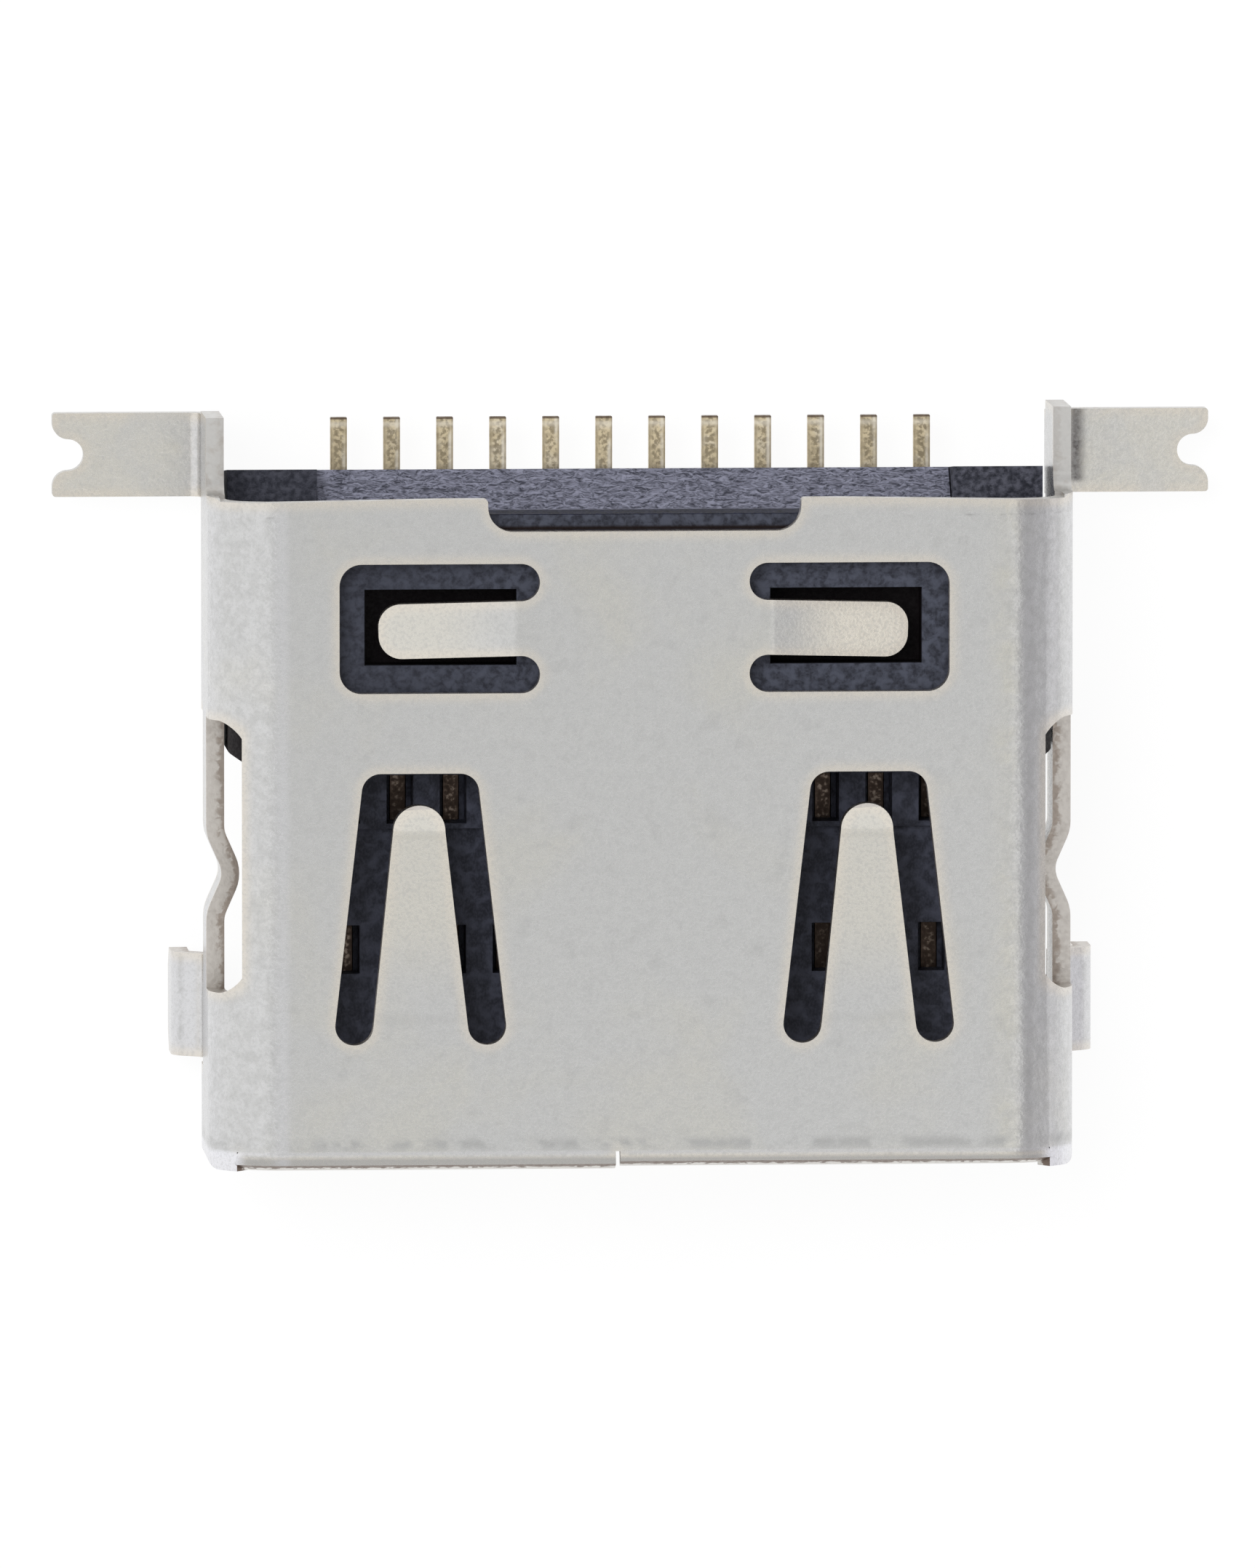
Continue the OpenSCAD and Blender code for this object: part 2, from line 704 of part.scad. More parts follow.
// Contact from its solder tail, up through the web and along the tongue to its buried hook
module contact_strip(i) {
    rise = tongue_z - 2 * contact_bend_r;
    beam = contact_rise_y - contact_bend_r - tongue_front_y - contact_nose;
    along_x(contact_x(i) - contact_w / 2, contact_x(i) + contact_w / 2)
        bent_strip([[tail_end_y - contact_rise_y - contact_bend_r, -90, contact_bend_r],
                    [rise, 90, contact_bend_r],
                    [beam, -contact_hook_angle, contact_bend_r],
                    [contact_hook_l]],
                   [tail_end_y, contact_t / 2], 180, contact_t);
}

module contact(i) {
    color([0.72, 0.6, 0.34]) contact_strip(i);
}

shell();
housing();
contact_carrier();
for (i = [1:contact_total])
    contact(i);
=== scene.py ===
import math
import bpy
from mathutils import Matrix, Vector
from mathutils.bvhtree import BVHTree


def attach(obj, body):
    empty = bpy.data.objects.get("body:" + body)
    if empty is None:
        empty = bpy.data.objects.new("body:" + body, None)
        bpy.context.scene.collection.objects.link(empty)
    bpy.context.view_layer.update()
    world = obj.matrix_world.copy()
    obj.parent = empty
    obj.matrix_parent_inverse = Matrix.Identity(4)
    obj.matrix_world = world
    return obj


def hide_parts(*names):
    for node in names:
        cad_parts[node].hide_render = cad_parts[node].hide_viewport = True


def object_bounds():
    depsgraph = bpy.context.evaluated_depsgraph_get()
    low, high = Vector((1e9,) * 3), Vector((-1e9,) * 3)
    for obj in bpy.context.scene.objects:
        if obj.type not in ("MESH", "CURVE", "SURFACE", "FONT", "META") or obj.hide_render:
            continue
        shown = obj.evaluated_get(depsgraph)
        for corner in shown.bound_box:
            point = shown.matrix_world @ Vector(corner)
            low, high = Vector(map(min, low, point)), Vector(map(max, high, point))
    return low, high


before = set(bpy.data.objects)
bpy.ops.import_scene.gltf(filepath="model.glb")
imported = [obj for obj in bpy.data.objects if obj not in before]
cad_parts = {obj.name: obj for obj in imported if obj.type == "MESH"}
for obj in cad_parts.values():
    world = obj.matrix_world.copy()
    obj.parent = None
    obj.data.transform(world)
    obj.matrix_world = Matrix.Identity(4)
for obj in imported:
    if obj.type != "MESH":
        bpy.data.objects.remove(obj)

mm = 0.001
white = (1, 1, 1, 1)
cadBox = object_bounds()
print("frame loaded:", len(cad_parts), "nodes")

# sockets of a Mix node in its colour mode
mixShare, mixFirst, mixSecond, mixResult = 0, 6, 7, 2


# small helpers for shader trees
def addNode(tree, kind, inputs=None, **settings):
    made = tree.nodes.new("ShaderNode" + kind)
    for name, value in settings.items():
        setattr(made, name, value)
    for name, value in (inputs or {}).items():
        feed(tree, made.inputs[name], value)
    return made


def feed(tree, socket, value):
    if isinstance(value, bpy.types.NodeSocket):
        tree.links.new(value, socket)
    else:
        socket.default_value = value


def mixColour(tree, share, first, second):
    mix = addNode(tree, "Mix", data_type="RGBA")
    feed(tree, mix.inputs[mixShare], share)
    feed(tree, mix.inputs[mixFirst], first)
    feed(tree, mix.inputs[mixSecond], second)
    return mix.outputs[mixResult]


def maths(tree, operation, first, second=0.0):
    made = addNode(tree, "Math", operation=operation)
    feed(tree, made.inputs[0], first)
    feed(tree, made.inputs[1], second)
    return made.outputs[0]


def times(tree, first, *others):
    for other in others:
        first = maths(tree, "MULTIPLY", first, other)
    return first


def remap(tree, value, low, high, toLow=0.0, toHigh=1.0):
    limits = {"From Min": low, "From Max": high, "To Min": toLow, "To Max": toHigh}
    made = addNode(tree, "MapRange", {"Value": value, **limits}, interpolation_type="SMOOTHSTEP")
    return made.outputs["Result"]


# a mask of 0 to 1 turned into a value between two others
def spread(tree, mask, between):
    return remap(tree, mask, 0.0, 1.0, *between)


# 0 to 1 between two places along an axis, given in millimetres
def ramp(tree, value, limits, toLow=0.0, toHigh=1.0):
    return remap(tree, value, limits[0] * mm, limits[1] * mm, toLow, toHigh)


# 1 at the middle place, fading to 0 at the places on both sides
def bandMask(tree, value, limits):
    return times(tree, ramp(tree, value, limits[:2]), ramp(tree, value, limits[1:], 1.0, 0.0))


def placed(tree, stretch=(1, 1, 1)):
    coords = addNode(tree, "TexCoord").outputs["Object"]
    return addNode(tree, "Mapping", {"Vector": coords, "Scale": stretch}).outputs["Vector"]


def axes(tree, stretch=(1, 1, 1)):
    return addNode(tree, "SeparateXYZ", {"Vector": placed(tree, stretch)}).outputs


# the layers of a look, laid over a colour one by one
def layered(tree, colour, masks, look):
    for mask, strength, tone in look["layers"]:
        colour = mixColour(tree, times(tree, masks[mask], strength), colour, look[tone])
    return colour


def newGroup(name, inputs, outputs):
    group = bpy.data.node_groups.new(name, "ShaderNodeTree")
    for socket in inputs:
        made = group.interface.new_socket(socket, in_out="INPUT", socket_type="NodeSocketFloat")
        made.default_value = 1.0
    for socket in outputs:
        group.interface.new_socket(socket, in_out="OUTPUT", socket_type="NodeSocketFloat")
    ins = group.nodes.new("NodeGroupInput")
    outs = group.nodes.new("NodeGroupOutput")
    return group, ins.outputs, outs.inputs


def useGroup(tree, group, **values):
    made = tree.nodes.new("ShaderNodeGroup")
    made.node_tree = group
    for name, value in values.items():
        feed(tree, made.inputs[name], value)
    return made.outputs


grainNoise = {"Detail": 3.0, "Roughness": 0.6}
grainSpan = (0.3, 0.7)


# fine pits of plating, moulded skin and rolled strip; Pits is their number in a metre
def makeGrain():
    group, ins, outs = newGroup("fineGrain", ["Pits", "Along"], ["Grain"])
    spot = axes(group)
    along = times(group, spot["X"], ins["Along"])
    where = addNode(group, "CombineXYZ", {"X": along, "Y": spot["Y"], "Z": spot["Z"]})
    pits = addNode(group, "TexNoise", {"Vector": where.outputs["Vector"], "Scale": ins["Pits"],
                                       **grainNoise})
    group.links.new(remap(group, pits.outputs["Fac"], *grainSpan), outs["Grain"])
    return group


patchNoise = {"Detail": 4.0, "Roughness": 0.55, "Distortion": 0.4}


# soft patches where a finish turns warmer, darker or duller; Size is their number in a metre
def makePatches():
    group, ins, outs = newGroup("softPatches", ["Size", "From", "To"], ["Patch"])
    cloud = addNode(group, "TexNoise", {"Vector": placed(group), "Scale": ins["Size"],
                                        **patchNoise})
    group.links.new(remap(group, cloud.outputs["Fac"], ins["From"], ins["To"]), outs["Patch"])
    return group


rimSamples = 6


# band beside an outer edge, where stamping rolled the surface over; the plating paints a highlight
# on it
def makeRim():
    group, ins, outs = newGroup("edgeRim", ["Reach", "From", "To"], ["Rim"])
    rounded = addNode(group, "Bevel", {"Radius": ins["Reach"]}, samples=rimSamples)
    flat = addNode(group, "NewGeometry").outputs["Normal"]
    dot = addNode(group, "VectorMath", operation="DOT_PRODUCT")
    group.links.new(rounded.outputs["Normal"], dot.inputs[0])
    group.links.new(flat, dot.inputs[1])
    turn = maths(group, "SUBTRACT", 1.0, dot.outputs["Value"])
    group.links.new(remap(group, turn, ins["From"], ins["To"]), outs["Rim"])
    return group


crinkleNoise = {"Detail": 2.0, "Roughness": 0.6, "Distortion": 0.6}
crinkleStretch = (0.55, 1, 1)
crinkleFall = 0.16


# crinkled skin of a spark-eroded mould, lit as if from behind the part
def makeCrinkle():
    group, ins, outs = newGroup("crinkledSkin", ["Size", "Shift"], ["Height", "Lit"])
    spot = axes(group, crinkleStretch)
    heights = []
    for along in (spot["Y"], maths(group, "ADD", spot["Y"], ins["Shift"])):
        where = addNode(group, "CombineXYZ", {"X": spot["X"], "Y": along, "Z": spot["Z"]})
        noise = addNode(group, "TexNoise", {"Vector": where.outputs["Vector"], "Scale": ins["Size"],
                                            **crinkleNoise})
        heights.append(noise.outputs["Fac"])
    group.links.new(heights[0], outs["Height"])
    fall = maths(group, "SUBTRACT", heights[0], heights[1])
    group.links.new(remap(group, fall, -crinkleFall, crinkleFall), outs["Lit"])
    return group


grain, patches, rim, crinkle = makeGrain(), makePatches(), makeRim(), makeCrinkle()
print("shared effects made")


def grainOf(tree, pits, along=1.0):
    return useGroup(tree, grain, Pits=pits, Along=along)["Grain"]


# a patch is given by its size and the two limits of its noise
def patchOf(tree, patch):
    size, low, high = patch
    return useGroup(tree, patches, Size=size, From=low, To=high)["Patch"]


def newMaterial(name, shine):
    material = bpy.data.materials.new(name)
    material.use_nodes = True
    tree = material.node_tree
    shader = tree.nodes["Principled BSDF"]
    for socket, value in shine.items():
        shader.inputs[socket].default_value = value
    return material, tree, shader


# colour, roughness and a bump of a depth in millimetres
def surface(tree, shader, colour, rough, height, look):
    tree.links.new(colour, shader.inputs["Base Color"])
    tree.links.new(rough, shader.inputs["Roughness"])
    bump = addNode(tree, "Bump", {"Height": height, "Distance": look["depth"] * mm,
                                  "Strength": look["bump"]})
    tree.links.new(bump.outputs["Normal"], shader.inputs["Normal"])


# names ending in X, Y or Z are places in millimetres
plating = {
    "plain": (0.64, 0.64, 0.635, 1), "warm": (0.69, 0.665, 0.57, 1),
    "cream": (0.72, 0.695, 0.625, 1), "bright": (0.92, 0.87, 0.76, 1),
    "rimHighlight": (0.78, 0.72, 0.63, 1), "dullAndShade": (0.48, 0.48, 0.475, 1),
    "darkening": (0.11, 0.1, 0.1, 1), "line": (0.7, 0.7, 0.715, 1),
    "lip": (0.56, 0.545, 0.52, 1), "wall": (0.76, 0.76, 0.8, 1), "cheek": (0.86, 0.86, 0.9, 1),
    # mask, strength and tone
    "layers": (("warmth", 0.35, "warm"), ("wall", 0.32, "wall"), ("bend", 0.6, "warm"),
               ("smudge", 0.3, "dullAndShade"), ("mottled", 1.0, "dullAndShade"), ("bendSheen", 0.12, "cheek"),
               ("mark", 0.85, "dullAndShade"), ("rearDarkLine", 0.35, "darkening"), ("lip", 0.9, "lip"),
               ("leg", 0.7, "line"), ("fold", 0.6, "dullAndShade"), ("leftBend", 0.7, "line"),
               ("frontLine", 0.9, "line"), ("tongue", 0.75, "cream"), ("tab", 0.9, "bright"),
               ("rolled", 0.8, "rimHighlight"), ("patchyFoot", 0.5, "plain"), ("darkening", 1.0, "darkening"),
               ("cheek", 0.85, "cheek")),
    "pits": 21000.0, "pitLimit": 0.6, "pitShare": 0.3, "rough": (0.31, 0.25),
    "depth": 0.0012, "bump": 0.5, "wrinkle": (0.8, 4.0),
    "mottle": 6500.0, "mottleShare": (0.18, 0.36),
    "warmPatch": (420.0, 0.47, 0.72), "blotchPatch": (1300.0, 0.42, 0.66),
    "smudgePatch": (2600.0, 0.55, 0.75), "markPatch": (2200.0, 0.4, 0.6),
    "pressedZ": (3.38, 3.2), "tongueX": (5.3, 5.4), "tabX": (1.7, 2.4), "tabY": (2.2, 2.4),
    "footX": (6.55, 6.85), "footY": (3.0, 3.5), "legX": (6.55, 6.65), "foldX": (6.74, 6.82, 6.9),
    "bentX": (5.3, 5.6), "wallX": (6.2, 6.55), "bendX": (5.0, 5.5, 5.72), "bendShare": (0.4, 1.0),
    "leftBendX": (-5.65, -5.42, -5.25), "rearLineY": (4.75, 4.775, 4.8),
    "markY": (-4.8, -4.64, -4.5), "lineY": (-4.82, -4.78, -4.73), "lipY": (-4.83, -4.88),
    "cheekX": (5.95, 6.12), "cheekY": (-4.73, -4.82),
    "footShadeX": (6.53, 6.72, 6.92), "footShadeFrontY": (4.98, 5.1), "footShadeRearY": (6.13, 6.25),
    "footShadeLimit": 0.7, "footShadeShare": (1.0, 0.8),
    "rimReach": 0.35, "rimTurn": (0.003, 0.12),
}


def makePlating(p):
    material, tree, shader = newMaterial("satinPlating", {"Metallic": 1.0})
    pits, mottle = grainOf(tree, p["pits"]), grainOf(tree, p["mottle"])
    blotch, smudge = patchOf(tree, p["blotchPatch"]), patchOf(tree, p["smudgePatch"])
    spot = axes(tree)
    across = maths(tree, "ABSOLUTE", spot["X"])
    # places where the sheet is bent, pressed or marked
    bent = ramp(tree, across, p["bentX"])
    pressed = ramp(tree, spot["Z"], p["pressedZ"])
    inside = ramp(tree, across, p["tongueX"], 1.0, 0.0)
    foot = times(tree, ramp(tree, across, p["footX"]), ramp(tree, spot["Y"], p["footY"]))
    leg = times(tree, ramp(tree, across, p["legX"]), ramp(tree, spot["Y"], p["footY"], 1.0, 0.0))
    lip = ramp(tree, spot["Y"], p["lipY"])
    low, high = p["rimTurn"]
    rolled = useGroup(tree, rim, Reach=p["rimReach"] * mm, From=low, To=high)["Rim"]
    masks = {
        "warmth": patchOf(tree, p["warmPatch"]),
        # painted reflection: the outer side walls paler and lilac
        "wall": ramp(tree, across, p["wallX"]),
        # painted highlight: a warm band along the right bend, broken into patches
        "bend": times(tree, bandMask(tree, spot["X"], p["bendX"]),
                      spread(tree, blotch, p["bendShare"])),
        "smudge": smudge,
        "mottled": times(tree, mottle, spread(tree, bent, p["mottleShare"])),
        # painted sheen: the bends a little paler and lilac where the mottle is light
        "bendSheen": times(tree, bent, maths(tree, "SUBTRACT", 1.0, mottle)),
        # a patchy darker band across the top just behind the lip
        "mark": times(tree, bandMask(tree, spot["Y"], p["markY"]), patchOf(tree, p["markPatch"])),
        # a patchy darker line along the rear edge of the top
        "rearDarkLine": times(tree, bandMask(tree, spot["Y"], p["rearLineY"]), smudge),
        # painted shade: the flared lip a little darker
        "lip": lip,
        # painted highlight: the legs paler
        "leg": leg,
        # painted shade along the fold in the middle of each leg, broken by the mottle
        "fold": times(tree, leg, bandMask(tree, across, p["foldX"]), mottle),
        # painted highlight: a pale line along the left bend
        "leftBend": bandMask(tree, spot["X"], p["leftBendX"]),
        # painted highlight: a pale line along the bend where the lip rises
        "frontLine": bandMask(tree, spot["Y"], p["lineY"]),
        # painted highlight: the pressed-in tongues and the feet paler, in a warm cream
        "tongue": times(tree, pressed, maths(tree, "MAXIMUM", inside, foot)),
        # painted highlight: the lock tabs paler still, in a warm tone
        "tab": times(tree, ramp(tree, spot["X"], p["tabX"]), ramp(tree, spot["Y"], p["tabY"]),
                     pressed, inside),
        # painted highlight along the rolled edges, left off the lip
        "rolled": times(tree, rolled, maths(tree, "SUBTRACT", 1.0, lip)),
        "patchyFoot": times(tree, foot, blotch),
        # painted shade in the inner bend of the right foot, broken by the mottle
        "darkening": times(tree, ramp(tree, spot["Y"], p["footShadeFrontY"]),
                       ramp(tree, spot["Y"], p["footShadeRearY"], 1.0, 0.0),
                       bandMask(tree, spot["X"], p["footShadeX"]),
                       remap(tree, mottle, 0.0, p["footShadeLimit"], *p["footShadeShare"])),
        # painted reflection: the front corners beside the lip pale and lilac
        "cheek": times(tree, ramp(tree, across, p["cheekX"]), ramp(tree, spot["Y"], p["cheekY"])),
    }
    colour = layered(tree, p["plain"], masks, p)
    pitted = remap(tree, pits, 0.0, p["pitLimit"], p["pitShare"], 0.0)
    colour = mixColour(tree, pitted, colour, p["dullAndShade"])
    # bending has wrinkled the skin of the sheet
    wrinkle = times(tree, mottle, spread(tree, bent, p["wrinkle"]))
    height = maths(tree, "ADD", pits, wrinkle)
    surface(tree, shader, colour, spread(tree, pits, p["rough"]), height, p)
    return material


sheared = {
    "bright": (0.64, 0.63, 0.61, 1), "tan": (0.655, 0.62, 0.58, 1),
    "torn": (0.29, 0.225, 0.18, 1), "scar": (0.5, 0.46, 0.42, 1),
    "lipDark": (0.2, 0.155, 0.13, 1), "lipPale": (0.68, 0.66, 0.63, 1),
    "layers": (("post", 1.0, "bright"), ("scar", 0.5, "scar"), ("torn", 0.65, "torn")),
    "lines": 16000.0, "rough": (0.48, 0.34), "depth": 0.002, "bump": 0.6,
    "scarPatch": (5000.0, 0.5, 0.7), "ragPatch": (9000.0, 0.3, 0.7), "ragged": (-0.175, 0.175),
    "tornFrom": 0.55, "tornTo": 0.9, "lipFrom": 0.4, "lipTo": 0.65,
    "postY": (4.75, 4.8), "postShare": (1.0, 0.25), "lipY": (-4.8, -4.85),
}


# a cut edge is bright where the punch slid along it and torn brown towards the inside of the sheet,
# at the lip towards the outside
def makeSheared(s):
    material, tree, shader = newMaterial("shearedSheet", {"Metallic": 1.0})
    lines = grainOf(tree, s["lines"])
    inward = addNode(tree, "Attribute", attribute_name="inward").outputs["Fac"]
    edge = maths(tree, "ADD", inward, spread(tree, patchOf(tree, s["ragPatch"]), s["ragged"]))
    along = axes(tree)["Y"]
    post = ramp(tree, along, s["postY"])
    masks = {
        "post": post,
        "scar": patchOf(tree, s["scarPatch"]),
        "torn": times(tree, remap(tree, edge, s["tornFrom"], s["tornTo"]),
                      spread(tree, post, s["postShare"])),
    }
    colour = layered(tree, s["tan"], masks, s)
    lipEdge = remap(tree, edge, s["lipFrom"], s["lipTo"])
    front = mixColour(tree, lipEdge, s["lipDark"], s["lipPale"])
    colour = mixColour(tree, ramp(tree, along, s["lipY"]), colour, front)
    surface(tree, shader, colour, spread(tree, lines, s["rough"]), lines, s)
    return material


rolledRim = {
    "brown": (0.17, 0.11, 0.08, 1), "grey": (0.4, 0.385, 0.365, 1), "rough": 0.4,
    "topZ": (2.9, 3.0), "patch": (5200.0, 0.4, 0.7), "patchShare": (1.0, 0.5),
}


# narrow rolled-over edge, brown at the windows of the top: partly the brown of the burr, partly
# painted shade on the roll
def makeRolledRim(r):
    material, tree, shader = newMaterial("rolledRim", {"Metallic": 1.0, "Roughness": r["rough"]})
    brown = times(tree, ramp(tree, axes(tree)["Z"], r["topZ"]),
                  spread(tree, patchOf(tree, r["patch"]), r["patchShare"]))
    tree.links.new(mixColour(tree, brown, r["grey"], r["brown"]), shader.inputs["Base Color"])
    return material


blackPlastic = {
    "gloss": {"IOR": 1.5, "Specular IOR Level": 0.2},
    "deep": (0.03, 0.032, 0.044, 1), "bloom": (0.085, 0.093, 0.126, 1),
    "rough": (0.135, 0.138, 0.175, 1), "pocket": (0.008, 0.006, 0.007, 1),
    "backDeep": (0.001, 0.002, 0.01, 1), "backBloom": (0.009, 0.012, 0.036, 1),
    "shade": (0.012, 0.006, 0.005, 1),
    "pits": 20000.0, "pitSpan": (0.2, 0.9), "pitShare": 0.35, "satin": (0.8, 0.6),
    "coarse": 11000.0, "coarseDepth": 5.0, "depth": 0.003, "bump": 0.7,
    "bloomPatch": (6500.0, 0.36, 0.66), "dimX": (-4.2, -1.2), "dimShare": 0.45,
    "pocketZ": (3.0, 2.94), "backY": (4.775, 4.785), "rearY": (4.8, 4.82),
    "shadeY": (4.5, 4.58, 4.64),
}


def makeBlackPlastic(b):
    material, tree, shader = newMaterial("blackMoulding", b["gloss"])
    pits, coarse = grainOf(tree, b["pits"]), grainOf(tree, b["coarse"])
    bloom = patchOf(tree, b["bloomPatch"])
    spot = axes(tree)
    rear = ramp(tree, spot["Y"], b["rearY"])
    # painted shade: the black plastic darker towards the left, the shoulders too
    dim = ramp(tree, spot["X"], b["dimX"], b["dimShare"], 0.0)
    colour = mixColour(tree, bloom, b["deep"], b["bloom"])
    pitted = remap(tree, pits, *b["pitSpan"], 0.0, b["pitShare"])
    colour = mixColour(tree, pitted, colour, b["bloom"])
    colour = mixColour(tree, dim, colour, b["deep"])
    # painted shade: the plastic deeper than the top almost black
    colour = mixColour(tree, ramp(tree, spot["Z"], b["pocketZ"]), colour, b["pocket"])
    # painted shade: the rear face of the housing, a much darker copy of the plastic
    back = mixColour(tree, bloom, b["backDeep"], b["backBloom"])
    colour = mixColour(tree, ramp(tree, spot["Y"], b["backY"]), colour, back)
    shoulder = mixColour(tree, coarse, b["deep"], mixColour(tree, dim, b["rough"], b["deep"]))
    colour = mixColour(tree, rear, colour, shoulder)
    colour = mixColour(tree, bandMask(tree, spot["Y"], b["shadeY"]), colour, b["shade"])
    height = mixColour(tree, rear, pits, times(tree, coarse, b["coarseDepth"]))
    surface(tree, shader, colour, spread(tree, pits, b["satin"]), height, b)
    return material


slatePlastic = {
    "gloss": {"IOR": 1.5, "Specular IOR Level": 0.2},
    "crinkleShade": (0.043, 0.045, 0.064, 1), "crest": (0.295, 0.302, 0.39, 1),
    "tongue": (0.03, 0.032, 0.045, 1), "tongueBloom": (0.08, 0.086, 0.12, 1),
    "skin": 13000.0, "shift": 0.014, "depth": 0.012, "bump": 0.7, "rearY": (4.7, 4.72),
    "pits": 22000.0, "pitsAlong": 1.6, "pitSpan": (0.3, 0.9), "pitShare": 0.35, "pitDepth": 0.15,
    "bloomPatch": (5200.0, 0.38, 0.7), "satin": (0.65, 0.5),
}


def makeSlatePlastic(s):
    material, tree, shader = newMaterial("slateMoulding", s["gloss"])
    skin = useGroup(tree, crinkle, Size=s["skin"], Shift=s["shift"] * mm)
    pits = grainOf(tree, s["pits"], s["pitsAlong"])
    rear = ramp(tree, axes(tree)["Y"], s["rearY"])
    smooth = mixColour(tree, patchOf(tree, s["bloomPatch"]), s["tongue"], s["tongueBloom"])
    pitted = remap(tree, pits, *s["pitSpan"], 0.0, s["pitShare"])
    smooth = mixColour(tree, pitted, smooth, s["tongueBloom"])
    # painted light and shade on the crinkled skin
    crinkled = mixColour(tree, skin["Lit"], s["crinkleShade"], s["crest"])
    colour = mixColour(tree, rear, smooth, crinkled)
    height = mixColour(tree, rear, times(tree, pits, s["pitDepth"]), skin["Height"])
    surface(tree, shader, colour, spread(tree, pits, s["satin"]), height, s)
    return material


gilding = {
    "gold": (0.8, 0.68, 0.46, 1), "pale": (0.95, 0.88, 0.74, 1), "tarnishAndShade": (0.26, 0.21, 0.135, 1),
    "holeShade": (0.075, 0.054, 0.043, 1), "glint": (0.36, 0.3, 0.25, 1), "end": (0.14, 0.1, 0.075, 1),
    "layers": (("pale", 0.4, "pale"), ("dark", 0.3, "tarnishAndShade"), ("worn", 0.6, "tarnishAndShade"),
               ("polish", 0.9, "pale"), ("side", 0.35, "tarnishAndShade"), ("endBand", 0.6, "pale"),
               ("end", 0.9, "end")),
    "speck": 15000.0, "wornSpan": (0.2, 0.8), "glintFrom": 0.55, "glintShare": 0.45,
    "rough": (0.5, 0.3), "depth": 0.002, "bump": 0.5,
    "palePatch": (4200.0, 0.48, 0.66), "darkPatch": (7000.0, 0.46, 0.66),
    "stripPatch": (1300.0, 0.44, 0.56),
    "pitch": 0.8, "coreX": (0.05, 0.105), "sideX": (0.085, 0.105), "polishX": 0.08,
    "polishWidth": 0.05, "endY": (6.0, 6.02), "endBandY": (5.86, 5.94, 6.0), "insideY": (4.8, 5.0),
}


def makeGilding(g):
    material, tree, shader = newMaterial("gildedStrip", {"Metallic": 1.0})
    speck = grainOf(tree, g["speck"])
    spot = axes(tree)
    # distance from the middle of the nearest strip
    half = 0.5 * g["pitch"]
    fromGap = maths(tree, "PINGPONG", spot["X"], half * mm)
    aside = maths(tree, "SUBTRACT", half * mm, fromGap)
    core = ramp(tree, aside, g["coreX"], 1.0, 0.0)
    # some strips have a polished right side
    shifted = maths(tree, "SUBTRACT", spot["X"], g["polishX"] * mm)
    polishBand = (half - g["polishWidth"], half, half + g["polishWidth"])
    masks = {
        "pale": patchOf(tree, g["palePatch"]),
        "dark": patchOf(tree, g["darkPatch"]),
        "worn": times(tree, core, remap(tree, speck, *g["wornSpan"], 1.0, 0.0)),
        "polish": times(tree, patchOf(tree, g["stripPatch"]),
                        bandMask(tree, maths(tree, "PINGPONG", shifted, half * mm), polishBand)),
        # painted shade along both sides of each strip
        "side": ramp(tree, aside, g["sideX"]),
        "endBand": bandMask(tree, spot["Y"], g["endBandY"]),
        "end": ramp(tree, spot["Y"], g["endY"]),
    }
    colour = layered(tree, g["gold"], masks, g)
    # inside the housing: painted shade, dark brown, with painted glints on the middles of the
    # strips
    glint = times(tree, core, remap(tree, speck, g["glintFrom"], 1.0, 0.0, g["glintShare"]))
    buried = mixColour(tree, glint, g["holeShade"], g["glint"])
    colour = mixColour(tree, ramp(tree, spot["Y"], g["insideY"], 1.0, 0.0), colour, buried)
    surface(tree, shader, colour, spread(tree, speck, g["rough"]), speck, g)
    return material


finish = {
    "plating": makePlating(plating), "sheared": makeSheared(sheared),
    "rim": makeRolledRim(rolledRim), "black": makeBlackPlastic(blackPlastic),
    "slate": makeSlatePlastic(slatePlastic), "gold": makeGilding(gilding),
}
print("finishes made")

# lengths in millimetres, angles in degrees
easing = {"mergeGap": 0.0001, "flatAngle": 0.3, "sharpAngle": 38.0, "faceWeight": 80}


# pieces: each stands for a solid of the frame, with its sharp edges eased
def takeSolid(node, name, e=easing):
    bpy.ops.object.select_all(action="DESELECT")
    piece = bpy.data.objects.new(name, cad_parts[node].data.copy())
    bpy.context.scene.collection.objects.link(piece)
    piece.data.materials.clear()
    piece.data.transform(Matrix.Scale(1 / mm, 4))  # worked on in millimetres
    bpy.context.view_layer.objects.active = piece
    piece.select_set(True)
    bpy.ops.object.mode_set(mode="EDIT")
    bpy.ops.mesh.select_all(action="SELECT")
    bpy.ops.mesh.remove_doubles(threshold=e["mergeGap"])
    bpy.ops.object.mode_set(mode="OBJECT")
    return piece


